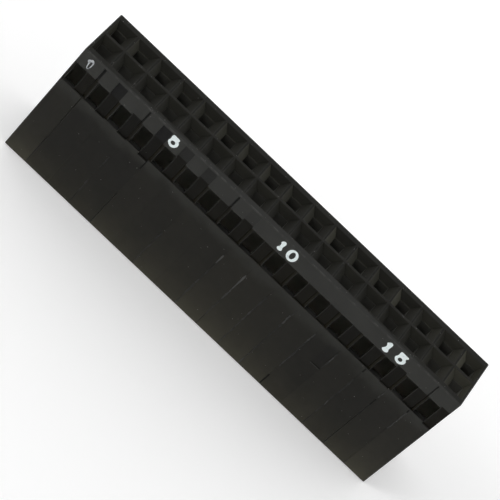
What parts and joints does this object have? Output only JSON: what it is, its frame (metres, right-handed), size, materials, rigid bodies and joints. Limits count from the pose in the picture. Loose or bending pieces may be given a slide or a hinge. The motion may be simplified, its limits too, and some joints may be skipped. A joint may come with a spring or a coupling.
{
  "type": "connector housing",
  "caption": "Double-row socket housing for crimped contacts, with a funnel at each position, a band of lance windows on both long sides and an open wire face.",
  "frame": {"origin": "middle of the bounding box's bottom, in the plane of the wire-entry face", "axes": "+X along the rows from position 1 to the last, +Y from the numbered long side to the other one, +Z from the wire-entry face to the mating face"},
  "size_m": [0.043, 0.006, 0.0148],
  "materials": {
    "housing_plastic": "moulded black plastic, fine matte outside, a little glossier in the band and the funnels"
  },
  "bodies": {
    "root": {"housing": "housing_plastic"}
  },
  "joints": []
}
